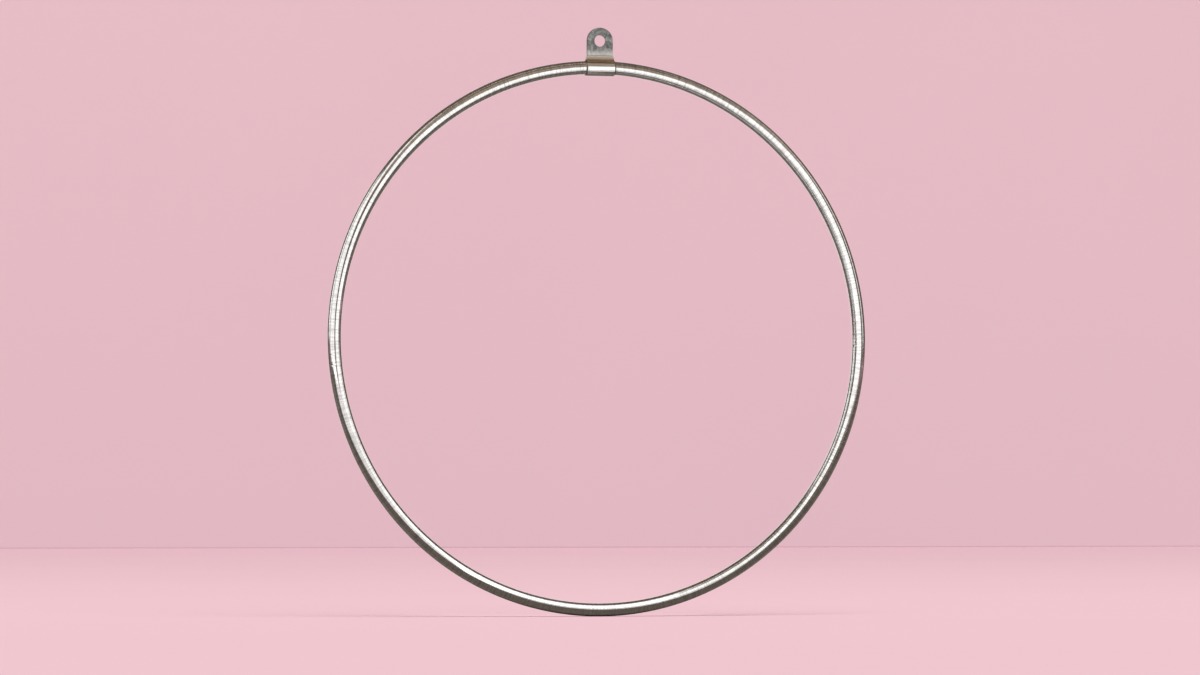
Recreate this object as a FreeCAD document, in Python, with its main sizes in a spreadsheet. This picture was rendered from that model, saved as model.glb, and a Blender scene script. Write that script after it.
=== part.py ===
import FreeCAD, Part
import math
import os

import Sketcher

os.makedirs("parts", exist_ok=True)

# Aerial hoop with one welded hanger tab, in millimetres.
# The origin is the centre of the hanging hole. Z points up, the hoop lies in the
# XZ plane, and Y is the axis of the hole and of the hoop.

# Driving dimensions
SIZES = {
    "hoop_outside_diameter": 1050,
    "tube_diameter": 25,
    "tube_wall": 2,
    "joint_gap": 2.5,
    "spigot_length": 100,
    "spigot_wall": 2,
    "spigot_clearance": 0.1,
    "hang_hole_diameter": 22,
    "ear_width": 50,
    "strap_thickness": 3,
    "ply_gap": 0.2,
    "hole_to_bend": 26.5,
    "crease_height": 8.4,
    "wrap_flare": 1.5,
    "wrap_clearance": 0.15,
    "edge_round": 0.5,
    "seam_width": 1.6,
    "seam_depth": 1.4,
    "weld_leg": 2.6,
    "weld_root_depth": 3,
}

document = FreeCAD.newDocument("lyra_hoop")
sheet = document.addObject("Spreadsheet::Sheet", "Sizes")
for row, (alias, size) in enumerate(SIZES.items(), start=1):
    sheet.set(f"A{row}", alias.replace("_", " "))
    sheet.set(f"B{row}", str(size))
    sheet.setAlias(f"B{row}", alias)
document.recompute()

# Lengths that follow from the driving dimensions
TUBE_RADIUS = "(Sizes.tube_diameter / 2)"
TUBE_BORE_RADIUS = f"({TUBE_RADIUS} - Sizes.tube_wall)"
SPIGOT_RADIUS = f"({TUBE_BORE_RADIUS} - Sizes.spigot_clearance)"
SPIGOT_BORE_RADIUS = f"({SPIGOT_RADIUS} - Sizes.spigot_wall)"
RING_RADIUS = f"(Sizes.hoop_outside_diameter / 2 - {TUBE_RADIUS})"

# The strap is wider round the tube than at the ear, by the flare on each side
HALF_WRAP = "(Sizes.ear_width / 2 + Sizes.wrap_flare)"

# The wrap is straight and the tube is curved, so the tube falls away by the sag at
# both ends of the wrap. The wrap is centred on the middle of that fall.
SAG = f"({RING_RADIUS} - sqrt({RING_RADIUS}^2 - {HALF_WRAP}^2))"
WRAP_BORE_RADIUS = f"({TUBE_RADIUS} + Sizes.wrap_clearance + {SAG} / 2)"
WRAP_RADIUS = f"({WRAP_BORE_RADIUS} + Sizes.strap_thickness)"

# Depths below the hanging hole
BEND_DEPTH = "(Sizes.hole_to_bend)"
WRAP_DEPTH = f"({BEND_DEPTH} + Sizes.crease_height + {WRAP_RADIUS})"
TUBE_DEPTH = f"({WRAP_DEPTH} - {SAG} / 2)"
RING_DEPTH = f"({TUBE_DEPTH} + {RING_RADIUS})"

# Half thickness of the ear at its outer faces and at the gap between its plies
EAR_HALF_GAP = "(Sizes.ply_gap / 2)"
EAR_HALF_THICKNESS = f"({EAR_HALF_GAP} + Sizes.strap_thickness)"

# The bead's round face is centred below the tube's surface and back under the strap
BEAD_SETBACK = "(Sizes.weld_leg / 4)"
BEAD_TOP_RADIUS = f"({TUBE_RADIUS} + Sizes.weld_leg)"

# How near two lengths lie when they are the same length
CLOSE = 0.01


def length(expression):
    """The present value of an expression on the sheet's sizes."""
    return float(sheet.evalExpression(expression))


def new_body(label):
    body = document.addObject("PartDesign::Body", label)
    body.Label = label
    return body


def new_sketch(body, name, role):
    """A sketch on one of the body's own origin planes."""
    sketch = body.newObject("Sketcher::SketchObject", name)
    plane = [item for item in body.Origin.OriginFeatures if item.Role == role][0]
    sketch.AttachmentSupport = [(plane, "")]
    sketch.MapMode = "FlatFace"
    return sketch


def dimension(sketch, name, expression, kind, *where):
    """A named dimension bound to the sheet."""
    index = sketch.addConstraint(Sketcher.Constraint(kind, *where, length(expression)))
    sketch.renameConstraint(index, name)
    sketch.setExpression(f"Constraints.{name}", expression)


def point(across, up):
    return FreeCAD.Vector(across, up, 0)


def line(start, end):
    return Part.LineSegment(start, end)


def arc(centre, radius, start_angle, end_angle):
    circle = Part.Circle(centre, FreeCAD.Vector(0, 0, 1), radius)
    return Part.ArcOfCircle(circle, start_angle, end_angle)


def pad(body, name, sketch, expression):
    """A pad that reaches half its length to each side of the sketch."""
    feature = body.newObject("PartDesign::Pad", name)
    feature.Profile = sketch
    feature.SideType = "Symmetric"
    feature.setExpression("Length", expression)
    return feature


def pocket(body, name, sketch, expression):
    """A pocket that reaches half its length to each side of the sketch."""
    feature = body.newObject("PartDesign::Pocket", name)
    feature.Profile = sketch
    feature.SideType = "Symmetric"
    feature.setExpression("Length", expression)
    return feature


def ring_section(label, outer, inner, side, sweep_angle):
    """A hollow arc of the hoop, centred on its top (side 1) or its bottom (side -1)."""
    body = new_body(label)
    body.setExpression("Placement.Base.z", f"-{RING_DEPTH}")
    sketch = new_sketch(body, f"{label}_section", "YZ_Plane")
    centre = point(0, side * length(RING_RADIUS))
    outside = sketch.addGeometry(Part.Circle(centre, FreeCAD.Vector(0, 0, 1), length(outer)))
    inside = sketch.addGeometry(Part.Circle(centre, FreeCAD.Vector(0, 0, 1), length(inner)))
    sketch.addConstraint(Sketcher.Constraint("PointOnObject", outside, 3, -2))
    sketch.addConstraint(Sketcher.Constraint("Coincident", inside, 3, outside, 3))
    ends = [(-1, 1), (outside, 3)][::side]
    dimension(sketch, "ring_radius", RING_RADIUS, "DistanceY", *ends[0], *ends[1])
    dimension(sketch, "outer_radius", outer, "Radius", outside)
    dimension(sketch, "inner_radius", inner, "Radius", inside)
    sweep = body.newObject("PartDesign::Revolution", f"{label}_sweep")
    sweep.Profile = sketch
    sweep.ReferenceAxis = (sketch, ["H_Axis"])
    sweep.Midplane = True
    sweep.setExpression("Angle", sweep_angle)
    return body


def hoop_tube():
    """The rolled tube, a full turn less the gap that the closing weld fills."""
    angle = f"360 - Sizes.joint_gap / {RING_RADIUS} * 180 / pi"
    return ring_section("hoop_tube", TUBE_RADIUS, TUBE_BORE_RADIUS, -1, angle)


def butt_weld():
    """The closing weld, from the spigot's surface out to the tube's surface."""
    angle = f"Sizes.joint_gap / {RING_RADIUS} * 180 / pi"
    return ring_section("butt_weld", TUBE_RADIUS, SPIGOT_RADIUS, 1, angle)


def joint_spigot():
    """The inner sleeve across the closing joint."""
    angle = f"Sizes.spigot_length / {RING_RADIUS} * 180 / pi"
    return ring_section("joint_spigot", SPIGOT_RADIUS, SPIGOT_BORE_RADIUS, 1, angle)


def drop_outline(body, name, round_radius, half_neck):
    """The strap seen from its end: a round about the tube with a tangent concave bend
    on each side, up to the neck where the two plies meet."""
    radius = length(round_radius)
    neck = length(half_neck)
    rise = length(WRAP_DEPTH) - length(BEND_DEPTH)
    bend = (rise**2 + neck**2 - radius**2) / (2 * (radius - neck))
    tilt = math.atan2(rise, neck + bend)
    bend_level = -length(BEND_DEPTH)
    sketch = new_sketch(body, name, "YZ_Plane")
    top = sketch.addGeometry(line(point(-neck, bend_level), point(neck, bend_level)))
    right = sketch.addGeometry(arc(point(neck + bend, bend_level), bend, math.pi, math.pi + tilt))
    middle = point(0, -length(WRAP_DEPTH))
    lower = sketch.addGeometry(arc(middle, radius, math.pi - tilt, 2 * math.pi + tilt))
    left = sketch.addGeometry(arc(point(-neck - bend, bend_level), bend, -tilt, 0))
    sketch.addConstraint([
        Sketcher.Constraint("Coincident", top, 2, right, 1),
        Sketcher.Constraint("Tangent", right, 2, lower, 2),
        Sketcher.Constraint("Tangent", lower, 1, left, 1),
        Sketcher.Constraint("Coincident", left, 2, top, 1),
        Sketcher.Constraint("Horizontal", top, 2, right, 3),
        Sketcher.Constraint("Horizontal", top, 1, left, 3),
        Sketcher.Constraint("Symmetric", top, 1, top, 2, -2),
        Sketcher.Constraint("PointOnObject", lower, 3, -2),
    ])
    dimension(sketch, "wrap_depth", WRAP_DEPTH, "DistanceY", lower, 3, -1, 1)
    dimension(sketch, "bend_depth", BEND_DEPTH, "DistanceY", top, 1, -1, 1)
    dimension(sketch, "round_radius", round_radius, "Radius", lower)
    dimension(sketch, "neck_width", f"2 * {half_neck}", "DistanceX", top, 1, top, 2)
    return sketch


def ear_outline(body, name, half_width):
    """The ear seen from the front: a half round about the hole on straight sides that
    run down to the bend."""
    radius = length(half_width)
    bend_level = -length(BEND_DEPTH)
    sketch = new_sketch(body, name, "XZ_Plane")
    crown = sketch.addGeometry(arc(point(0, 0), radius, 0, math.pi))
    left = sketch.addGeometry(line(point(-radius, 0), point(-radius, bend_level)))
    foot = sketch.addGeometry(line(point(-radius, bend_level), point(radius, bend_level)))
    right = sketch.addGeometry(line(point(radius, bend_level), point(radius, 0)))
    sketch.addConstraint([
        Sketcher.Constraint("Coincident", crown, 3, -1, 1),
        Sketcher.Constraint("Tangent", crown, 2, left, 1),
        Sketcher.Constraint("Coincident", left, 2, foot, 1),
        Sketcher.Constraint("Coincident", foot, 2, right, 1),
        Sketcher.Constraint("Tangent", right, 2, crown, 1),
        Sketcher.Constraint("Vertical", left),
        Sketcher.Constraint("Horizontal", foot),
        Sketcher.Constraint("Vertical", right),
    ])
    dimension(sketch, "half_width", half_width, "Radius", crown)
    dimension(sketch, "bend_depth", BEND_DEPTH, "DistanceY", foot, 1, -1, 1)
    return sketch


def flare_outline(body, name):
    """What the strap's sides lose between the ear's width at the bend and the full width
    level with the top of the wrap: on each side a slim S of two equal arcs."""
    narrow = length("Sizes.ear_width / 2")
    wide = length(HALF_WRAP)
    fall = length("Sizes.crease_height")
    upper = -length(BEND_DEPTH)
    lower = upper - fall
    clear = wide + length("Sizes.strap_thickness")
    bend = (fall**2 + (wide - narrow)**2) / (4 * (wide - narrow))
    turn = math.asin(fall / (2 * bend))
    sketch = new_sketch(body, name, "XZ_Plane")
    for side, tag in ((-1, "left"), (1, "right")):
        top = sketch.addGeometry(line(point(side * narrow, upper), point(side * clear, upper)))
        edge = sketch.addGeometry(line(point(side * clear, upper), point(side * clear, lower)))
        foot = sketch.addGeometry(line(point(side * clear, lower), point(side * wide, lower)))
        low_middle = point(side * (wide - bend), lower)
        high_middle = point(side * (narrow + bend), upper)
        if side > 0:
            low_arc = sketch.addGeometry(arc(low_middle, bend, 0, turn))
            high_arc = sketch.addGeometry(arc(high_middle, bend, math.pi, math.pi + turn))
        else:
            low_arc = sketch.addGeometry(arc(low_middle, bend, math.pi - turn, math.pi))
            high_arc = sketch.addGeometry(arc(high_middle, bend, -turn, 0))
        outer, inner = (1, 2)[::side]
        sketch.addConstraint([
            Sketcher.Constraint("Coincident", top, 2, edge, 1),
            Sketcher.Constraint("Coincident", edge, 2, foot, 1),
            Sketcher.Constraint("Coincident", foot, 2, low_arc, outer),
            Sketcher.Constraint("Coincident", top, 1, high_arc, outer),
            Sketcher.Constraint("Tangent", low_arc, inner, high_arc, inner),
            Sketcher.Constraint("Horizontal", top),
            Sketcher.Constraint("Vertical", edge),
            Sketcher.Constraint("Horizontal", foot),
            Sketcher.Constraint("Horizontal", top, 1, high_arc, 3),
            Sketcher.Constraint("Horizontal", foot, 2, low_arc, 3),
            Sketcher.Constraint("Equal", low_arc, high_arc),
        ])
        for what, expression, place in (
            ("narrow", "Sizes.ear_width / 2", (top, 1)),
            ("clear", f"{HALF_WRAP} + Sizes.strap_thickness", (top, 2)),
            ("wide", HALF_WRAP, (foot, 2)),
        ):
            first, second = [(-1, 1), place][::side]
            dimension(sketch, f"{tag}_{what}", expression, "DistanceX", *first, *second)
        dimension(sketch, f"{tag}_top", BEND_DEPTH, "DistanceY", top, 1, -1, 1)
        dimension(sketch, f"{tag}_fall", "Sizes.crease_height", "DistanceY", edge, 2, edge, 1)
    return sketch


def slot_outline(body, name):
    """The gap between the plies, seen from the end, from the bend up through the top."""
    half_gap = length(EAR_HALF_GAP)
    low = -length(BEND_DEPTH)
    high = length("Sizes.ear_width")
    corners = [point(-half_gap, low), point(half_gap, low), point(half_gap, high), point(-half_gap, high)]
    sketch = new_sketch(body, name, "YZ_Plane")
    edges = [sketch.addGeometry(line(corners[i], corners[(i + 1) % 4])) for i in range(4)]
    for i in range(4):
        sketch.addConstraint(Sketcher.Constraint("Coincident", edges[i], 2, edges[(i + 1) % 4], 1))
    sketch.addConstraint([
        Sketcher.Constraint("Symmetric", edges[0], 1, edges[0], 2, -2),
        Sketcher.Constraint("Vertical", edges[1]),
        Sketcher.Constraint("Horizontal", edges[2]),
        Sketcher.Constraint("Vertical", edges[3]),
    ])
    dimension(sketch, "gap", "Sizes.ply_gap", "DistanceX", edges[0], 1, edges[0], 2)
    dimension(sketch, "foot", BEND_DEPTH, "DistanceY", edges[0], 1, -1, 1)
    dimension(sketch, "reach", "Sizes.ear_width", "DistanceY", -1, 1, edges[2], 1)
    return sketch


def hole_outline(body, name):
    sketch = new_sketch(body, name, "XZ_Plane")
    hole_radius = length("Sizes.hang_hole_diameter / 2")
    hole = sketch.addGeometry(Part.Circle(point(0, 0), FreeCAD.Vector(0, 0, 1), hole_radius))
    sketch.addConstraint(Sketcher.Constraint("Coincident", hole, 3, -1, 1))
    dimension(sketch, "hole_radius", "Sizes.hang_hole_diameter / 2", "Radius", hole)
    return sketch


def outline_edges(shape):
    """The long edges of the bent strap: every edge but the straight ones that run across
    it or through its thickness."""
    names = []
    for number, edge in enumerate(shape.Edges, start=1):
        run = edge.lastVertex().Point - edge.firstVertex().Point
        straight = edge.Curve.TypeId == "Part::GeomLine"
        if not (straight and abs(run.z) < edge.Length / 2):
            names.append(f"Edge{number}")
    return names


def rim_edges(shape):
    """The two rims of the hanging hole."""
    names = []
    for number, edge in enumerate(shape.Edges, start=1):
        middle = edge.valueAt((edge.FirstParameter + edge.LastParameter) / 2)
        from_axis = math.hypot(middle.x, middle.z)
        at_hole = abs(from_axis - length("Sizes.hang_hole_diameter / 2")) < CLOSE
        at_face = abs(abs(middle.y) - length(EAR_HALF_THICKNESS)) < CLOSE
        if at_hole and at_face:
            names.append(f"Edge{number}")
    return names


def rounding(body, name, base, pick_edges):
    """A small round on the picked edges of the body's latest feature."""
    document.recompute()
    feature = body.newObject("PartDesign::Fillet", name)
    feature.Base = (base, pick_edges(base.Shape))
    feature.setExpression("Radius", "Sizes.edge_round")


def strap_blank():
    """The bent strap: one piece round the tube, whose two legs lie together as the ear."""
    body = new_body("strap_blank")
    pad(body, "wrap_round", drop_outline(body, "wrap_outside", WRAP_RADIUS, EAR_HALF_THICKNESS),
        f"2 * {HALF_WRAP}")
    pad(body, "ear_plate", ear_outline(body, "ear_shape", "Sizes.ear_width / 2"),
        f"2 * {EAR_HALF_THICKNESS}")
    through = f"4 * {WRAP_RADIUS}"
    flared = pocket(body, "flare", flare_outline(body, "flare_shape"), through)
    rounding(body, "outline_round", flared, outline_edges)
    across = f"4 * {HALF_WRAP}"
    pocket(body, "wrap_bore", drop_outline(body, "wrap_inside", WRAP_BORE_RADIUS, EAR_HALF_GAP), across)
    pocket(body, "ply_slot", slot_outline(body, "ply_slot_shape"), across)
    holed = pocket(body, "hang_hole", hole_outline(body, "hang_hole_shape"), through)
    rounding(body, "rim_round", holed, rim_edges)
    return body


def ear_seam_weld():
    """The weld between the plies, a narrow band let in round the ear's edge."""
    body = new_body("ear_seam_weld")
    pad(body, "seam_plate", ear_outline(body, "seam_outside", "Sizes.ear_width / 2"), "Sizes.seam_width")
    pocket(body, "seam_middle",
           ear_outline(body, "seam_inside", "Sizes.ear_width / 2 - Sizes.seam_depth"),
           "2 * Sizes.seam_width")
    return body


def tube_envelope():
    """The outside of the tube as a full solid ring, which trims the welds."""
    ring = document.addObject("Part::Torus", "tube_envelope")
    ring.setExpression("Radius1", RING_RADIUS)
    ring.setExpression("Radius2", TUBE_RADIUS)
    ring.Placement = FreeCAD.Placement(FreeCAD.Vector(), FreeCAD.Rotation(FreeCAD.Vector(1, 0, 0), 90))
    ring.setExpression("Placement.Base.z", f"-{RING_DEPTH}")
    return ring


def cut(label, base, tool):
    feature = document.addObject("Part::Cut", label)
    feature.Label = label
    feature.Base = base
    feature.Tool = tool
    return feature


def weld_root(label, side):
    """The weld metal under one end of the strap, which also closes the crease."""
    body = new_body(label)
    offset = f"{side} * ({HALF_WRAP} - Sizes.weld_root_depth / 2)"
    body.setExpression("Placement.Base.x", offset)
    outline = drop_outline(body, f"{label}_shape", WRAP_BORE_RADIUS, EAR_HALF_GAP)
    pad(body, f"{label}_fill", outline, "Sizes.weld_root_depth")
    return body


def weld_bead(label, side):
    """The round fillet bead between the tube and one end of the wrap. Its legs on the
    tube and on the strap are equal, and it starts a little way under the strap."""
    body = new_body(label)
    turn = f"asin({HALF_WRAP} / {RING_RADIUS})"
    body.Placement = FreeCAD.Placement(FreeCAD.Vector(), FreeCAD.Rotation(FreeCAD.Vector(0, side, 0), 1))
    body.setExpression("Placement.Base.x", f"{side} * {HALF_WRAP}")
    body.setExpression("Placement.Base.z", f"{RING_RADIUS} * cos({turn}) - {RING_DEPTH}")
    body.setExpression("Placement.Rotation.Angle", turn)
    setback = length(BEAD_SETBACK)
    under = -length("Sizes.weld_leg") / 2
    top = length(BEAD_TOP_RADIUS)
    low = length(TUBE_RADIUS) - setback
    bulge = math.hypot(setback, top - low)
    slope = math.atan2(top - low, setback)
    middle = point(-side * setback, low)
    sketch = new_sketch(body, f"{label}_shape", "XZ_Plane")
    shoulder = sketch.addGeometry(line(point(side * under, top), point(0, top)))
    if side > 0:
        crown = sketch.addGeometry(arc(middle, bulge, 0, slope))
    else:
        crown = sketch.addGeometry(arc(middle, bulge, math.pi - slope, math.pi))
    toe = point(side * (bulge - setback), low)
    base = sketch.addGeometry(line(toe, point(side * under, low)))
    back = sketch.addGeometry(line(point(side * under, low), point(side * under, top)))
    crown_toe, crown_top = (1, 2)[::side]
    sketch.addConstraint([
        Sketcher.Constraint("Coincident", shoulder, 2, crown, crown_top),
        Sketcher.Constraint("Coincident", crown, crown_toe, base, 1),
        Sketcher.Constraint("Coincident", base, 2, back, 1),
        Sketcher.Constraint("Coincident", back, 2, shoulder, 1),
        Sketcher.Constraint("Horizontal", shoulder),
        Sketcher.Constraint("Horizontal", base),
        Sketcher.Constraint("Vertical", back),
        Sketcher.Constraint("PointOnObject", shoulder, 2, -2),
        Sketcher.Constraint("Horizontal", crown, 3, crown, crown_toe),
    ])
    for name, expression, place in (
        ("under_strap", "Sizes.weld_leg / 2", (back, 1)),
        ("setback", BEAD_SETBACK, (crown, 3)),
    ):
        first, second = [place, (-1, 1)][::side]
        dimension(sketch, name, expression, "DistanceX", *first, *second)
    dimension(sketch, "top_radius", BEAD_TOP_RADIUS, "DistanceY", -1, 1, shoulder, 2)
    dimension(sketch, "foot_radius", f"{TUBE_RADIUS} - {BEAD_SETBACK}", "DistanceY", -1, 1, base, 1)
    sweep = body.newObject("PartDesign::Revolution", f"{label}_sweep")
    sweep.Profile = sketch
    sweep.ReferenceAxis = (sketch, ["H_Axis"])
    sweep.Angle = 360
    return body


def tab_weld(label, side, strap, envelope):
    """One end weld, trimmed to meet the strap and the tube face to face."""
    joined = document.addObject("Part::Fuse", f"{label}_metal")
    joined.Base = weld_root(f"{label}_root", side)
    joined.Tool = weld_bead(f"{label}_bead", side)
    trimmed = cut(f"{label}_at_strap", joined, strap)
    return cut(label, trimmed, envelope)


blank = strap_blank()
seam = ear_seam_weld()
envelope = tube_envelope()
sub_parts = [
    hoop_tube(),
    joint_spigot(),
    butt_weld(),
    cut("tab_strap", blank, seam),
    tab_weld("tab_weld_left", -1, blank, envelope),
    tab_weld("tab_weld_right", 1, blank, envelope),
    seam,
]
document.recompute()

for item in document.Objects:
    if "Invalid" in item.State or "Error" in item.State:
        raise RuntimeError(f"{item.Label} did not compute: {item.State}")
for item in sub_parts:
    if item.Shape.isNull() or not item.Shape.isValid():
        raise RuntimeError(f"{item.Label} has no valid shape")
for item in sub_parts:
    box = item.Shape.BoundBox
    print(f"{item.Label}: {len(item.Shape.Solids)} solid, {item.Shape.Volume:.1f} cubic mm,",
          f"x {box.XMin:.2f} to {box.XMax:.2f}, y {box.YMin:.2f} to {box.YMax:.2f},",
          f"z {box.ZMin:.2f} to {box.ZMax:.2f}")
    item.Shape.exportStep(f"parts/{item.Label}.step")
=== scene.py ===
"""Looks of the aerial hoop: polished tube, hanger tab, weld beads, studio and camera."""

import math

import bmesh
import bpy
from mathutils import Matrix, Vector, noise


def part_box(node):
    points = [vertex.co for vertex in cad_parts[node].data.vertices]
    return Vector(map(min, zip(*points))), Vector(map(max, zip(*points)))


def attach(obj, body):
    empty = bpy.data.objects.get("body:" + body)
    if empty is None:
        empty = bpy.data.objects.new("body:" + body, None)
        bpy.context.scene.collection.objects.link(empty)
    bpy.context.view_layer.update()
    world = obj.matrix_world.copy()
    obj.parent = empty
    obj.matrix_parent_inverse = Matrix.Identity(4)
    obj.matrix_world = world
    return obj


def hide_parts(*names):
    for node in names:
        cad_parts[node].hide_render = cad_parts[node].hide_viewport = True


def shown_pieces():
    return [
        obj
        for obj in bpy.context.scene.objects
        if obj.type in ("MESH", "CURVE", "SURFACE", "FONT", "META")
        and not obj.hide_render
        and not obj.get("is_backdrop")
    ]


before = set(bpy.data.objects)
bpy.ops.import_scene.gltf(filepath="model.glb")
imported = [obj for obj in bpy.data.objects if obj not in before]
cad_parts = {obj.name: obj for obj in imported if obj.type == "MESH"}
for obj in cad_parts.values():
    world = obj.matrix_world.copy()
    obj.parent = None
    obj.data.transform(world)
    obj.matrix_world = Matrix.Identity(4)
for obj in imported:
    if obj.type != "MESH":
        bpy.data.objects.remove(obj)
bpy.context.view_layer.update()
MM = 0.001

# Sizes read from the frame, in metres
TUBE_LOW, TUBE_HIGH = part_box("hoop_tube")
TUBE_RADIUS = (TUBE_HIGH.y - TUBE_LOW.y) / 2
OUTER_RADIUS = min(TUBE_HIGH.x - TUBE_LOW.x, TUBE_HIGH.z - TUBE_LOW.z) / 2
RING_RADIUS = OUTER_RADIUS - TUBE_RADIUS
RING_CENTRE_Z = TUBE_LOW.z + OUTER_RADIUS
FLOOR_Z = TUBE_LOW.z
STRAP_LOW, STRAP_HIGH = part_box("tab_strap")
WRAP_HALF_WIDTH = STRAP_HIGH.x
WELD_LOW, WELD_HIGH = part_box("butt_weld")

# Sizes of the tube's mesh
TUBE_WALL = 2 * MM
JOINT_HALF_GAP = (WELD_HIGH.x - WELD_LOW.x) / 2
STEPS_ALONG = 900
STEPS_AROUND = 72
ROLL_WAVE = 0.03 * MM
ROLL_WAVES = 23
MARK_PLACES = (86.1, 91.4, 255.8, 264, 266.1)
MARK_HALF_WIDTH = 0.9 * MM
MARK_DEPTH = 0.12 * MM

# Sizes of the tab that its welds follow
EAR_HALF_WIDTH = STRAP_HIGH.z
BEND_TOP_Z = -26.5 * MM
BEND_CENTRE_Y = 16.63 * MM
BEND_INSIDE_RADIUS = 16.53 * MM
FLARE_END_Z = -34.9 * MM
RUBBED_TOP_Z = -10 * MM
RUBBED_LOW_Z = -27 * MM

# Temper colours down the bend, from the wrap's top up to the ear, mixed with painted reflections: the pale
# line at 0.12, the dark line at 0.17 and the extra brightness of the orange at 0.36 are painted light
BEND_BANDS_LOW_Z = -46 * MM
BEND_BANDS_HIGH_Z = -27 * MM
TEMPER_AND_REFLECTION_COLOURS = (
    (0.06, (0.5, 0.48, 0.45)),
    (0.12, (1.0, 0.98, 0.95)),
    (0.17, (0.38, 0.31, 0.25)),
    (0.28, (0.36, 0.25, 0.18)),
    (0.36, (1.0, 0.68, 0.43)),
    (0.44, (0.85, 0.6, 0.43)),
    (0.51, (0.5, 0.4, 0.31)),
    (0.6, (0.95, 0.91, 0.84)),
    (0.86, (0.98, 0.95, 0.9)),
)

# Weld beads
BEAD_TOP_RADIUS = 15.1 * MM
BEAD_LEG = 2.6 * MM
BEAD_CROWN = 0.3 * MM
BEAD_ROOT_RADIUS = 12.2 * MM
BEAD_INSET = 0.3 * MM
BEAD_TOE_WANDER = 0.25 * MM
SKIN_GAP = 0.05 * MM
BEAD_STEPS = 420
CROWN_STEPS = 10
RIPPLE_PITCH = 1.7 * MM
RIPPLE_DEPTH = 0.16 * MM
CREASE_STEPS = 48
CREASE_DEPTH = 2.6 * MM
SEAM_HALF_WIDTH = 0.8 * MM
SEAM_DEPTH = 1.4 * MM
SEAM_RIPPLE = 0.14 * MM

# Camera, from the photograph's ellipse
CAMERA_AZIMUTH = math.radians(14.9)
CAMERA_ELEVATION = math.radians(-1.85)
CAMERA_DISTANCE = 10.25
FOCAL_PIXELS = 5425.6
IMAGE_WIDTH = 1200
IMAGE_HEIGHT = 675
SENSOR_WIDTH = 36
RING_CENTRE_PIXEL = (599.7, 338.3)


# Soft boxes: distance in front of the hoop, then left, right, bottom and top from the ring's centre,
# in metres, and the radiance and colour of the face
WHITE = (1, 1, 1)
WARM = (1, 0.8, 0.62)
SOFT_BOXES = (
    ("front_box", 0.75, -0.4, 1.0, -0.1, 0.65, 1.4, WHITE),
    ("left_box", 0.2, -2.5, -0.55, -0.1, 1.1, 1.25, WHITE),
    ("low_box", 0.1, -0.25, 0.15, -0.45, 0.0, 1.4, WHITE),
    ("foot_box", 0.65, -1.3, 0.4, -0.45, -0.1, 0.9, WHITE),
    ("right_strip", 0.15, 0.75, 1.25, 0.0, 3.0, 0.9, WHITE),
    ("upper_box", 0.8, -1.5, 3.0, 0.65, 1.7, 0.25, WARM),
    ("warm_strip", 0.5, -2.5, 1.0, 3.0, 4.5, 1.4, WARM),
)
# Behind, facing the hoop's back: the same order
BACK_BOX = ("back_box", 2.5, -1.2, 1.2, -0.9, 1.2, 0.9, WHITE)
# At the far left, facing right: distance, near edge, far edge, bottom and top
SIDE_BOX = ("side_box", 5.0, 0.3, 2.5, 0.1, 5.0, 1.3, WHITE)
ROOM_COLOUR = (0.16, 0.128, 0.1)
WASH_STRENGTH = 3.37
WASH_TILT = math.radians(34)
WASH_TURN = math.radians(8)
WASH_SPREAD = math.radians(50)
# paper colours with painted shade: the floor darkens away from the hoop, the wall darkens towards its foot
FLOOR_PAPER = (0.825, 0.56, 0.625)
FAR_FLOOR_PAINTED_SHADE = (0.6, 0.41, 0.465)
WALL_FOOT_PAINTED_SHADE = (0.71, 0.54, 0.588)
WALL_PAPER = (0.78, 0.58, 0.635)
WALL_Y = 20
WALL_TOP = 10
WALL_FADE = 3
FLOOR_FADE_Y = 2
FLOOR_NEAR_Y = -12
PAPER_HALF_WIDTH = 16
CARD_HALF_WIDTH = 9
CARD_NEAR_Y = -6
CARD_FAR_Y = 2.6
CARD_TOP_Z = 1.5
DARK_CARD = (0.145, 0.123, 0.103)
MID_CARD = (0.2, 0.18, 0.16)
CARD_LIFT = 0.3 * MM
SHARP_ANGLE = math.radians(50)


def mesh_object(name, bm, smooth=True):
    mesh = bpy.data.meshes.new(name)
    bmesh.ops.recalc_face_normals(bm, faces=bm.faces)
    bm.to_mesh(mesh)
    bm.free()
    if smooth:
        mesh.shade_smooth()
        mesh.set_sharp_from_angle(angle=SHARP_ANGLE)
    obj = bpy.data.objects.new(name, mesh)
    bpy.context.scene.collection.objects.link(obj)
    return obj


def finish_piece(obj, material):
    obj.data.materials.clear()
    obj.data.materials.append(material)
    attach(obj, "root")
    return obj


def node_material(name):
    material = bpy.data.materials.new(name)
    material.use_nodes = True
    tree = material.node_tree
    shader = tree.nodes["Principled BSDF"]
    return material, tree, shader


def add_node(tree, kind, **settings):
    node = tree.nodes.new(kind)
    for key, value in settings.items():
        setattr(node, key, value)
    return node


def math_node(tree, operation, first, second=None, clamp=False):
    node = add_node(tree, "ShaderNodeMath", operation=operation, use_clamp=clamp)
    for socket, value in zip(node.inputs, (first, second)):
        if value is None:
            continue
        if isinstance(value, (int, float)):
            socket.default_value = value
        else:
            tree.links.new(value, socket)
    return node.outputs[0]


def noise_node(tree, vector, scale, detail=4, roughness=0.55, distortion=0.0):
    node = add_node(tree, "ShaderNodeTexNoise")
    node.inputs["Scale"].default_value = scale
    node.inputs["Detail"].default_value = detail
    node.inputs["Roughness"].default_value = roughness
    node.inputs["Distortion"].default_value = distortion
    tree.links.new(vector, node.inputs["Vector"])
    return node.outputs["Fac"]


def ramp_node(tree, value, stops):
    """A colour ramp; stops are (position, colour or grey)."""
    node = add_node(tree, "ShaderNodeValToRGB")
    elements = node.color_ramp.elements
    for index, (position, colour) in enumerate(stops):
        element = elements[index] if index < 2 else elements.new(position)
        element.position = position
        shade = (colour,) * 3 if isinstance(colour, (int, float)) else colour
        element.color = (*shade, 1)
    tree.links.new(value, node.inputs["Fac"])
    return node.outputs["Color"]


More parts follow.
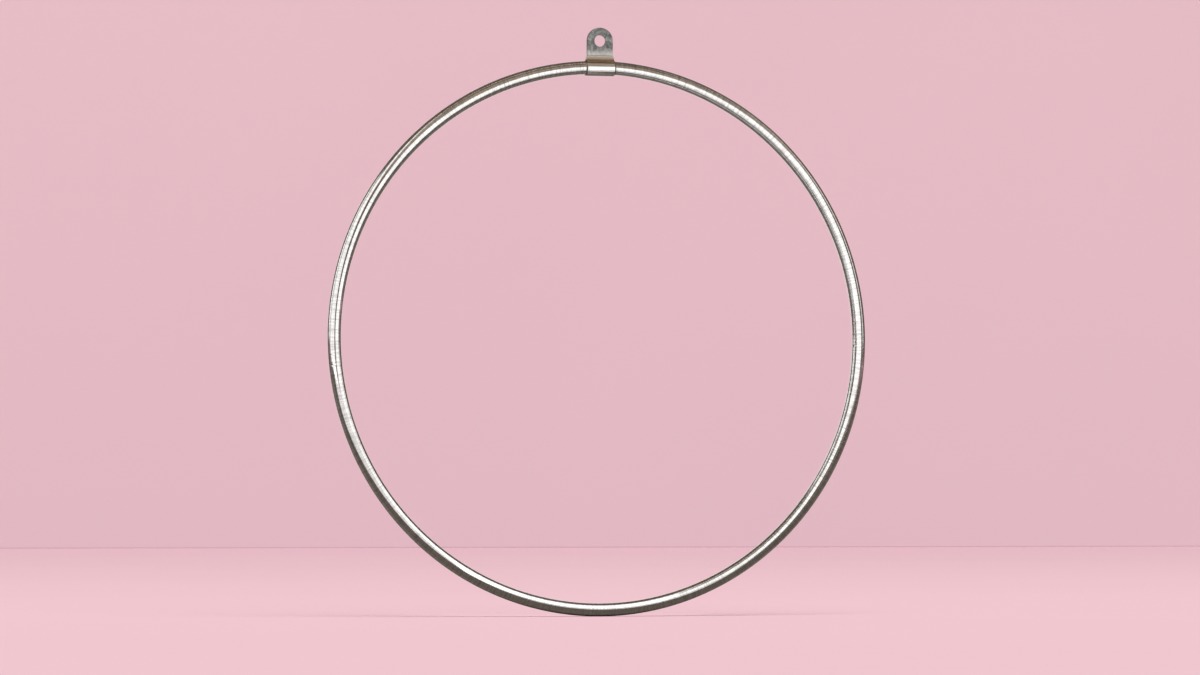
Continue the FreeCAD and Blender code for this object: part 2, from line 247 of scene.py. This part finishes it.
def mix_colour(tree, factor, first, second, blend="MIX"):
    node = add_node(tree, "ShaderNodeMix", data_type="RGBA", blend_type=blend)
    for socket, value in ((node.inputs[0], factor), (node.inputs[6], first), (node.inputs[7], second)):
        if isinstance(value, (int, float)):
            socket.default_value = value
        elif isinstance(value, tuple):
            socket.default_value = (*value, 1)
        else:
            tree.links.new(value, socket)
    return node.outputs[2]


def bump_node(tree, height, strength, distance, below=None):
    node = add_node(tree, "ShaderNodeBump")
    node.inputs["Strength"].default_value = strength
    node.inputs["Distance"].default_value = distance
    tree.links.new(height, node.inputs["Height"])
    if below is not None:
        tree.links.new(below, node.inputs["Normal"])
    return node.outputs["Normal"]


def map_range(tree, value, start, end, kind="SMOOTHSTEP"):
    """0 at start and 1 at end, clamped outside."""
    node = add_node(tree, "ShaderNodeMapRange", interpolation_type=kind)
    tree.links.new(value, node.inputs["Value"])
    node.inputs["From Min"].default_value = start
    node.inputs["From Max"].default_value = end
    return node.outputs["Result"]


def object_axes(tree):
    """The piece's own coordinates and their x, y and z."""
    coordinates = add_node(tree, "ShaderNodeTexCoord").outputs["Object"]
    split = add_node(tree, "ShaderNodeSeparateXYZ")
    tree.links.new(coordinates, split.inputs[0])
    return coordinates, split.outputs[0], split.outputs[1], split.outputs[2]


def combined(tree, x, y, z):
    node = add_node(tree, "ShaderNodeCombineXYZ")
    for socket, value in zip(node.inputs, (x, y, z)):
        tree.links.new(value, socket)
    return node.outputs[0]


def tube_coordinates(tree, along_scale, across_scale=1.0):
    """Place on the bent tube: distance along it and the two axes of its section, each scaled."""
    _, x, y, z = object_axes(tree)
    height = math_node(tree, "SUBTRACT", z, RING_CENTRE_Z)
    left = math_node(tree, "MULTIPLY", x, -1)
    angle = math_node(tree, "ARCTAN2", left, math_node(tree, "MULTIPLY", height, -1))
    along = math_node(tree, "MULTIPLY", angle, RING_RADIUS * along_scale)
    x_squared = math_node(tree, "MULTIPLY", x, x)
    squares = math_node(tree, "ADD", x_squared, math_node(tree, "MULTIPLY", height, height))
    radial = math_node(tree, "SUBTRACT", math_node(tree, "SQRT", squares), RING_RADIUS)
    aside = math_node(tree, "MULTIPLY", radial, across_scale)
    return combined(tree, along, aside, math_node(tree, "MULTIPLY", y, across_scale))


def tube_material():
    """Rolled and polished steel: fine lines along and across the tube, faint stains and small nicks."""
    material, tree, shader = node_material("polished_tube_steel")
    streaks = noise_node(tree, tube_coordinates(tree, 0.012), 900, detail=5)
    bands = noise_node(tree, tube_coordinates(tree, 0.05), 260, detail=3)
    rubs = noise_node(tree, tube_coordinates(tree, 1.0, 0.1), 260, detail=6, roughness=0.7)
    stains = noise_node(tree, tube_coordinates(tree, 1.0), 55, detail=6, roughness=0.65)
    specks = noise_node(tree, tube_coordinates(tree, 0.8), 420, detail=3, roughness=0.6)
    bright = ramp_node(tree, streaks, [(0.3, (0.64, 0.64, 0.637)), (0.7, (0.8, 0.8, 0.797))])
    rubbed = ramp_node(tree, rubs, [(0.36, 0.68), (0.58, 1.0)])
    bright = mix_colour(tree, 1.0, bright, rubbed, blend="MULTIPLY")
    stain = ramp_node(tree, stains, [(0.56, 0.0), (0.78, 0.55)])
    coloured = mix_colour(tree, stain, bright, (0.46, 0.42, 0.37))
    nick = ramp_node(tree, specks, [(0.66, 0.0), (0.7, 1.0)])
    coloured = mix_colour(tree, nick, coloured, (0.5, 0.48, 0.45))
    tree.links.new(coloured, shader.inputs["Base Color"])
    rough = ramp_node(tree, bands, [(0.3, 0.1), (0.72, 0.18)])
    rough = mix_colour(tree, stain, rough, (0.34, 0.34, 0.34))
    rough = mix_colour(tree, nick, rough, (0.6, 0.6, 0.6))
    tree.links.new(rough, shader.inputs["Roughness"])
    shader.inputs["Metallic"].default_value = 1
    lines = bump_node(tree, streaks, 0.12, 0.02 * MM)
    dents = bump_node(tree, bands, 0.1, 0.05 * MM, below=lines)
    tree.links.new(bump_node(tree, nick, -0.4, 0.08 * MM, below=dents), shader.inputs["Normal"])
    return material


def strap_material():
    """Bent strip: dull and mottled on the ear, temper colours with painted reflection lines down the bend,
    buffed round the tube.
    """
    material, tree, shader = node_material("tab_strap_steel")
    coordinates, x, y, z = object_axes(tree)
    stretch = combined(tree, math_node(tree, "MULTIPLY", x, 0.08), y, z)
    mottle = noise_node(tree, coordinates, 130, detail=7, roughness=0.62, distortion=0.6)
    grain = noise_node(tree, coordinates, 900, detail=4)
    lines = noise_node(tree, stretch, 700, detail=4)
    wander = math_node(tree, "MULTIPLY", math_node(tree, "SUBTRACT", mottle, 0.5), 2.5 * MM)
    height = math_node(tree, "ADD", z, wander)
    zone = map_range(tree, height, BEND_BANDS_LOW_Z, BEND_BANDS_HIGH_Z, kind="LINEAR")
    greys = [(0.3, (0.068, 0.076, 0.077)), (0.5, (0.182, 0.2, 0.2)), (0.7, (0.42, 0.44, 0.44))]
    dull = ramp_node(tree, mottle, greys)
    rubbed = ramp_node(tree, mottle, [(0.3, (0.34, 0.345, 0.345)), (0.7, (0.57, 0.575, 0.57))])
    ear = mix_colour(tree, map_range(tree, height, RUBBED_TOP_Z, RUBBED_LOW_Z), dull, rubbed)
    buffed = ramp_node(tree, lines, [(0.3, (0.64, 0.635, 0.625)), (0.7, (0.8, 0.797, 0.79))])
    # temper colours down the bend, with painted reflection lines and a painted highlight in the orange
    temper_and_reflection = ramp_node(tree, zone, TEMPER_AND_REFLECTION_COLOURS)
    coloured = mix_colour(tree, map_range(tree, zone, 0.06, 0.2), buffed, temper_and_reflection)
    coloured = mix_colour(tree, map_range(tree, zone, 0.86, 0.92), coloured, ear)
    tree.links.new(coloured, shader.inputs["Base Color"])
    rough = mix_colour(
        tree,
        map_range(tree, zone, 0.1, 0.6),
        ramp_node(tree, lines, [(0.3, 0.12), (0.7, 0.22)]),
        ramp_node(tree, grain, [(0.3, 0.36), (0.7, 0.5)]),
    )
    tree.links.new(rough, shader.inputs["Roughness"])
    shader.inputs["Metallic"].default_value = 1
    fine = bump_node(tree, grain, 0.15, 0.04 * MM)
    tree.links.new(bump_node(tree, mottle, 0.2, 0.15 * MM, below=fine), shader.inputs["Normal"])
    return material


def weld_material():
    """Wire-brushed weld: brown and straw heat colours over grey, rough between the ripples."""
    material, tree, shader = node_material("brushed_weld_metal")
    coordinates, *_ = object_axes(tree)
    patches = noise_node(tree, coordinates, 260, detail=5, roughness=0.6)
    grain = noise_node(tree, coordinates, 1500, detail=3)
    stops = [(0.3, (0.12, 0.09, 0.07)), (0.5, (0.28, 0.23, 0.19)), (0.75, (0.5, 0.45, 0.4))]
    tree.links.new(ramp_node(tree, patches, stops), shader.inputs["Base Color"])
    tree.links.new(ramp_node(tree, grain, [(0.3, 0.28), (0.7, 0.5)]), shader.inputs["Roughness"])
    shader.inputs["Metallic"].default_value = 1
    tree.links.new(bump_node(tree, grain, 0.3, 0.05 * MM), shader.inputs["Normal"])
    return material


def spigot_material():
    """Drawn tube with mill finish: dark scale and lines along it."""
    material, tree, shader = node_material("mill_finish_spigot")
    drawn = noise_node(tree, tube_coordinates(tree, 0.03), 700, detail=4)
    scale = noise_node(tree, tube_coordinates(tree, 1.0), 150, detail=5)
    bare = ramp_node(tree, drawn, [(0.3, (0.36, 0.36, 0.37)), (0.7, (0.52, 0.52, 0.53))])
    patches = ramp_node(tree, scale, [(0.5, 0.0), (0.62, 0.8)])
    tree.links.new(mix_colour(tree, patches, bare, (0.16, 0.16, 0.17)), shader.inputs["Base Color"])
    tree.links.new(ramp_node(tree, scale, [(0.4, 0.35), (0.65, 0.6)]), shader.inputs["Roughness"])
    shader.inputs["Metallic"].default_value = 1
    tree.links.new(bump_node(tree, drawn, 0.2, 0.03 * MM), shader.inputs["Normal"])
    return material


def ring_point(angle, tube_angle, radius):
    """A point of the tube: angle runs round the ring from its top, tube_angle round the section."""
    reach = RING_RADIUS + radius * math.cos(tube_angle)
    return Vector((
        reach * math.sin(angle),
        radius * math.sin(tube_angle),
        RING_CENTRE_Z + reach * math.cos(angle),
    ))


def outside_radius(angle, tube_angle):
    """The tube's outside, a hair under its full size where the rollers pressed it."""
    roll = 0.5 + 0.5 * math.cos(ROLL_WAVES * angle + 1.3 * math.sin(tube_angle))
    uneven = noise.noise(Vector((14 * math.sin(angle), 14 * math.cos(angle), 1.5 * math.cos(tube_angle))))
    pressed = ROLL_WAVE * (0.6 * roll + 0.4 * abs(uneven))
    for place in MARK_PLACES:
        away = abs(angle - math.radians(place)) * RING_RADIUS / MARK_HALF_WIDTH
        pressed += MARK_DEPTH * max(0, 1 - away)
    return TUBE_RADIUS - pressed


def tube_skin(bm, angles, steps, radius_at):
    """Rings of vertices along the tube, joined by quads. Returns the first and last ring."""
    rings = []
    for angle in angles:
        turn = [math.tau * step / steps for step in range(steps)]
        rings.append([bm.verts.new(ring_point(angle, t, radius_at(angle, t))) for t in turn])
    for near, far in zip(rings, rings[1:]):
        for step in range(steps):
            after = (step + 1) % steps
            bm.faces.new((near[step], near[after], far[after], far[step]))
    return rings[0], rings[-1]


def polished_tube():
    """The rolled tube with its bore and its two ends, which meet at the top inside the tab."""
    bm = bmesh.new()
    first = JOINT_HALF_GAP / RING_RADIUS
    span = math.tau - 2 * first
    angles = [first + span * step / STEPS_ALONG for step in range(STEPS_ALONG + 1)]
    mark = MARK_HALF_WIDTH / RING_RADIUS
    for place in MARK_PLACES:
        middle = math.radians(place)
        angles = [angle for angle in angles if abs(angle - middle) > 1.4 * mark]
        angles.extend((middle - mark, middle, middle + mark))
    angles.sort()
    outer_ends = tube_skin(bm, angles, STEPS_AROUND, outside_radius)
    inner_ends = tube_skin(bm, angles, STEPS_AROUND, lambda angle, turn: TUBE_RADIUS - TUBE_WALL)
    for outer, inner in zip(outer_ends, inner_ends):
        for step in range(STEPS_AROUND):
            after = (step + 1) % STEPS_AROUND
            bm.faces.new((outer[step], outer[after], inner[after], inner[step]))
    return mesh_object("polished_tube", bm)


def ripple(along, across, seed):
    """Depth of a weld's ripples from 0 to 1: crescents along the run, a little uneven."""
    wave = 0.5 - 0.5 * math.cos(math.tau * (along / RIPPLE_PITCH + 0.45 * across * across))
    uneven = noise.noise(Vector((along / RIPPLE_PITCH / 2.3, across, seed)))
    return min(1, max(0, 0.85 * wave ** 1.5 + 0.5 * uneven))


def closed_rows(bm, rows, ring):
    """Joins rows of points into a skin. With ring the last row meets the first, or else both are capped."""
    made = [[bm.verts.new(point) for point in row] for row in rows]
    pairs = list(zip(made, made[1:]))
    if ring:
        pairs.append((made[-1], made[0]))
    else:
        bm.faces.new(made[0])
        bm.faces.new(list(reversed(made[-1])))
    for near, far in pairs:
        count = len(near)
        for index in range(count):
            after = (index + 1) % count
            bm.faces.new((near[index], near[after], far[after], far[index]))


def bead_row(side, turn):
    """One section of the bead; turn runs round the tube from its top, u away from the strap's edge."""
    lean = math.asin(WRAP_HALF_WIDTH / RING_RADIUS)
    centre = ring_point(side * lean, 0, 0)
    tangent = Vector((side * math.cos(lean), 0, -math.sin(lean)))
    outward = Vector((side * math.sin(lean), 0, math.cos(lean)))
    ray = outward * math.cos(turn) + Vector((0, 1, 0)) * math.sin(turn)
    spot = Vector((3 * math.cos(turn), 3 * math.sin(turn), side))
    toe_wander = BEAD_TOE_WANDER * (0.5 + 0.5 * noise.noise(spot))
    fall = TUBE_RADIUS - SKIN_GAP - BEAD_TOP_RADIUS
    section = []
    for step in range(CROWN_STEPS + 1):
        share = step / CROWN_STEPS
        bulge = BEAD_CROWN * math.sin(math.pi * share)
        pressed = RIPPLE_DEPTH * math.sin(math.pi * min(1, share * 1.15)) ** 0.5 if share < 0.87 else 0
        depth = pressed * ripple(turn * TUBE_RADIUS, 2 * share - 1, side) if pressed else 0
        u = (BEAD_LEG - toe_wander) * share + (bulge - depth) * 0.7
        radius = BEAD_TOP_RADIUS + fall * share + (bulge - depth) * 0.7
        section.append((u, radius))
    section.append((BEAD_LEG - toe_wander - 0.2 * MM, BEAD_ROOT_RADIUS))
    section.append((-BEAD_INSET, BEAD_ROOT_RADIUS))
    section.append((-BEAD_INSET, BEAD_TOP_RADIUS - SKIN_GAP))
    row = []
    for u, radius in section:
        strap_face = math.tan(lean) * radius * math.cos(turn)
        row.append(centre + tangent * (u - strap_face) + ray * radius)
    return row


def crease_row(side, share):
    """One level of the weld in the V between the strap's plies, share 0 at its foot, 1 at its top."""
    foot = RING_CENTRE_Z + OUTER_RADIUS - 1.2 * MM
    z = foot + (BEND_TOP_Z - foot) * share
    below = min(BEND_INSIDE_RADIUS, BEND_TOP_Z - z)
    half_width = BEND_CENTRE_Y - math.sqrt(BEND_INSIDE_RADIUS ** 2 - below ** 2) + 0.1 * MM
    flare = min(1, max(0, (BEND_TOP_Z - z) / (BEND_TOP_Z - FLARE_END_Z)))
    edge = EAR_HALF_WIDTH + (WRAP_HALF_WIDTH - EAR_HALF_WIDTH) * flare * flare * (3 - 2 * flare)
    row = []
    for step in range(CROWN_STEPS + 1):
        across = 2 * step / CROWN_STEPS - 1
        swell = 0.55 * MM * (1 - across * across) * min(1, half_width / (2 * MM))
        depth = RIPPLE_DEPTH * ripple(z, across, side + 7)
        row.append(Vector((side * (edge - 0.45 * MM + swell - depth), across * half_width, z)))
    row.append(Vector((side * (edge - CREASE_DEPTH), half_width, z)))
    row.append(Vector((side * (edge - CREASE_DEPTH), -half_width, z)))
    return row


def tab_weld(name, side):
    """The weld at one side of the tab: a rippled bead round the tube, and the filled crease over it."""
    bm = bmesh.new()
    turns = [math.tau * step / BEAD_STEPS for step in range(BEAD_STEPS)]
    closed_rows(bm, [bead_row(side, turn) for turn in turns], ring=True)
    closed_rows(bm, [crease_row(side, step / CREASE_STEPS) for step in range(CREASE_STEPS + 1)], ring=False)
    return mesh_object(name, bm)


def seam_path():
    """Points and outward directions round the ear's edge, evenly spaced, from bend to bend."""
    spacing = RIPPLE_PITCH / 8
    straight = -BEND_TOP_Z
    arch = math.pi * EAR_HALF_WIDTH
    total = 2 * straight + arch
    count = round(total / spacing)
    for index in range(count + 1):
        along = total * index / count
        if along < straight:
            yield along, Vector((-EAR_HALF_WIDTH, 0, BEND_TOP_Z + along)), Vector((-1, 0, 0))
        elif along > straight + arch:
            down = along - straight - arch
            yield along, Vector((EAR_HALF_WIDTH, 0, -down)), Vector((1, 0, 0))
        else:
            turn = math.pi * (along - straight) / arch
            outward = Vector((-math.cos(turn), 0, math.sin(turn)))
            yield along, outward * EAR_HALF_WIDTH, outward


def ear_seam():
    """The weld that closes the joint between the ear's two plies, ground nearly flush."""
    rows = []
    for along, point, outward in seam_path():
        row = []
        for step in range(CROWN_STEPS + 1):
            across = 2 * step / CROWN_STEPS - 1
            depth = SEAM_RIPPLE * ripple(along, across, 3) + 0.12 * MM * across ** 4
            row.append(point - outward * depth + Vector((0, SEAM_HALF_WIDTH * across, 0)))
        row.append(point - outward * SEAM_DEPTH + Vector((0, SEAM_HALF_WIDTH, 0)))
        row.append(point - outward * SEAM_DEPTH - Vector((0, SEAM_HALF_WIDTH, 0)))
        rows.append(row)
    bm = bmesh.new()
    closed_rows(bm, rows, ring=False)
    return mesh_object("ear_seam", bm)


def dress_node(node, material):
    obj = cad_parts[node]
    obj.data.materials.clear()
    obj.data.materials.append(material)


def card_material(name, colour):
    material, tree, shader = node_material(name)
    coordinates, *_ = object_axes(tree)
    mottled = noise_node(tree, coordinates, 1.3, detail=3)
    deep = tuple(0.97 * part for part in colour)
    tree.links.new(ramp_node(tree, mottled, [(0.3, deep), (0.7, colour)]), shader.inputs["Base Color"])
    shader.inputs["Roughness"].default_value = 0.9
    shader.inputs["Specular IOR Level"].default_value = 0
    return material


def paper_material():
    """Pale pink paper with painted shade: lightest on the floor near the hoop, painted a little darker
    towards the wall and on it, and on the wall darker at its foot than higher up.
    """
    material, tree, shader = node_material("pale_paper")
    coordinates, _, y, z = object_axes(tree)
    mottled = noise_node(tree, coordinates, 0.4, detail=2)
    # painted shade: the floor darkens away from the hoop and the wall darkens towards its foot
    away = map_range(tree, y, FLOOR_FADE_Y, WALL_Y, kind="LINEAR")
    floor_shade = mix_colour(tree, away, FLOOR_PAPER, FAR_FLOOR_PAINTED_SHADE)
    up = map_range(tree, z, FLOOR_Z, FLOOR_Z + WALL_FADE, kind="LINEAR")
    wall_shade = mix_colour(tree, up, WALL_FOOT_PAINTED_SHADE, WALL_PAPER)
    shade = mix_colour(tree, map_range(tree, z, FLOOR_Z, FLOOR_Z + 0.01), floor_shade, wall_shade)
    tone = ramp_node(tree, mottled, [(0.3, 0.985), (0.7, 1.0)])
    tree.links.new(mix_colour(tree, 1.0, shade, tone, blend="MULTIPLY"), shader.inputs["Base Color"])
    shader.inputs["Roughness"].default_value = 0.9
    shader.inputs["Specular IOR Level"].default_value = 0
    return material


def backdrop():
    """Floor and wall of pale paper."""
    profile = [(FLOOR_NEAR_Y, 0), (WALL_Y, 0), (WALL_Y, WALL_TOP)]
    bm = bmesh.new()
    sides = []
    for x in (-PAPER_HALF_WIDTH, PAPER_HALF_WIDTH):
        sides.append([bm.verts.new((x, y, FLOOR_Z + z)) for y, z in profile])
    for index in range(len(profile) - 1):
        bm.faces.new((sides[0][index], sides[1][index], sides[1][index + 1], sides[0][index + 1]))
    obj = mesh_object("backdrop", bm, smooth=False)
    obj.data.materials.append(paper_material())
    obj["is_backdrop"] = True
    return obj


def soft_box(name, width, height, place, turn, radiance, colour):
    """A lamp that shows in the metal, not to the camera. Without a turn it stands in front."""
    data = bpy.data.lights.new(name, "AREA")
    data.shape = "RECTANGLE"
    data.size = width
    data.size_y = height
    data.energy = radiance * math.pi * width * height
    data.color = colour
    lamp = bpy.data.objects.new(name, data)
    bpy.context.scene.collection.objects.link(lamp)
    lamp.location = place
    lamp.rotation_euler = (math.pi / 2, 0, turn)
    lamp.visible_camera = False
    return lamp


def card(name, low, high, colour):
    """A flat card that only the metal sees. It hides the pale floor and draws the dark edges."""
    bm = bmesh.new()
    flat = min(range(3), key=lambda axis: high[axis] - low[axis])
    first, second = (axis for axis in range(3) if axis != flat)
    corners = []
    for at_first, at_second in ((0, 0), (1, 0), (1, 1), (0, 1)):
        corner = [0, 0, 0]
        corner[flat] = low[flat]
        corner[first] = (low, high)[at_first][first]
        corner[second] = (low, high)[at_second][second]
        corners.append(bm.verts.new(corner))
    bm.faces.new(corners)
    sheet = mesh_object(name, bm, smooth=False)
    sheet.data.materials.append(card_material(name + "_paint", colour))
    sheet.visible_camera = False
    sheet.visible_diffuse = False
    sheet.visible_transmission = False
    sheet.visible_shadow = False
    sheet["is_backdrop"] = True
    return sheet


def receivers(name, objects):
    group = bpy.data.collections.new(name)
    for obj in objects:
        group.objects.link(obj)
    return group


def lights(stage, hoop):
    """Soft boxes for the hoop, an even wash for the paper, and a dim warm room."""
    boxes = []
    for name, distance, left, right, bottom, top, radiance, colour in (*SOFT_BOXES, BACK_BOX):
        behind = name == BACK_BOX[0]
        place = ((left + right) / 2, distance if behind else -distance, RING_CENTRE_Z + (bottom + top) / 2)
        turn = math.pi if behind else 0
        boxes.append(soft_box(name, right - left, top - bottom, place, turn, radiance, colour))
    name, distance, near, far, bottom, top, radiance, colour = SIDE_BOX
    place = (-distance, (near + far) / 2, RING_CENTRE_Z + (bottom + top) / 2)
    boxes.append(soft_box(name, far - near, top - bottom, place, -math.pi / 2, radiance, colour))
    for lamp in boxes:
        lamp.light_linking.receiver_collection = hoop
    wash_data = bpy.data.lights.new("wash", "SUN")
    wash_data.energy = WASH_STRENGTH
    wash_data.angle = WASH_SPREAD
    wash = bpy.data.objects.new("wash", wash_data)
    bpy.context.scene.collection.objects.link(wash)
    wash.rotation_euler = (WASH_TILT, 0, WASH_TURN)
    wash.light_linking.receiver_collection = stage
    world = bpy.data.worlds.new("studio")
    bpy.context.scene.world = world
    world.use_nodes = True
    background = world.node_tree.nodes["Background"]
    background.inputs["Color"].default_value = (*ROOM_COLOUR, 1)
    background.inputs["Strength"].default_value = 1


def camera():
    """The photograph's camera: long lens, left of the hoop's face and a little above the floor."""
    data = bpy.data.cameras.new("photo_camera")
    data.sensor_width = SENSOR_WIDTH
    data.lens = FOCAL_PIXELS * SENSOR_WIDTH / IMAGE_WIDTH
    data.clip_start = 0.1
    data.clip_end = 100
    obj = bpy.data.objects.new("photo_camera", data)
    bpy.context.scene.collection.objects.link(obj)
    centre = Vector((0, 0, RING_CENTRE_Z))
    flat = math.cos(CAMERA_ELEVATION)
    outward = Vector((
        -math.sin(CAMERA_AZIMUTH) * flat,
        -math.cos(CAMERA_AZIMUTH) * flat,
        math.sin(CAMERA_ELEVATION),
    ))
    obj.location = centre + outward * CAMERA_DISTANCE
    sight = (-outward).to_track_quat("-Z", "Y")
    right = sight @ Vector((1, 0, 0))
    up = sight @ Vector((0, 1, 0))
    metres_per_pixel = CAMERA_DISTANCE / FOCAL_PIXELS
    aside = (IMAGE_WIDTH / 2 - RING_CENTRE_PIXEL[0]) * metres_per_pixel
    above = (RING_CENTRE_PIXEL[1] - IMAGE_HEIGHT / 2) * metres_per_pixel
    target = centre + right * aside + up * above
    obj.rotation_mode = "QUATERNION"
    obj.rotation_quaternion = (target - obj.location).to_track_quat("-Z", "Y")
    bpy.context.scene.camera = obj


steel = tube_material()
strap_steel = strap_material()
weld_metal = weld_material()
ring = finish_piece(polished_tube(), steel)
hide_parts("hoop_tube")
left_weld = finish_piece(tab_weld("left_bead", -1), weld_metal)
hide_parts("tab_weld_left")
right_weld = finish_piece(tab_weld("right_bead", 1), weld_metal)
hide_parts("tab_weld_right")
seam = finish_piece(ear_seam(), weld_metal)
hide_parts("ear_seam_weld")
dress_node("tab_strap", strap_steel)
dress_node("butt_weld", weld_metal)
dress_node("joint_spigot", spigot_material())

paper = backdrop()
card_z = FLOOR_Z + CARD_LIFT
left, right = -CARD_HALF_WIDTH, CARD_HALF_WIDTH
cards = [
    card("front_floor_card", (left, CARD_NEAR_Y, card_z), (right, 0, card_z), DARK_CARD),
    card("back_floor_card", (left, 0, card_z), (right, CARD_FAR_Y, card_z), MID_CARD),
    card("back_card", (left, CARD_FAR_Y, FLOOR_Z), (right, CARD_FAR_Y, CARD_TOP_Z), DARK_CARD),
]
hoop_pieces = receivers("hoop_pieces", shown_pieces())
lights(receivers("paper_and_cards", [paper, *cards]), hoop_pieces)
camera()
bpy.context.scene.view_settings.view_transform = "Standard"
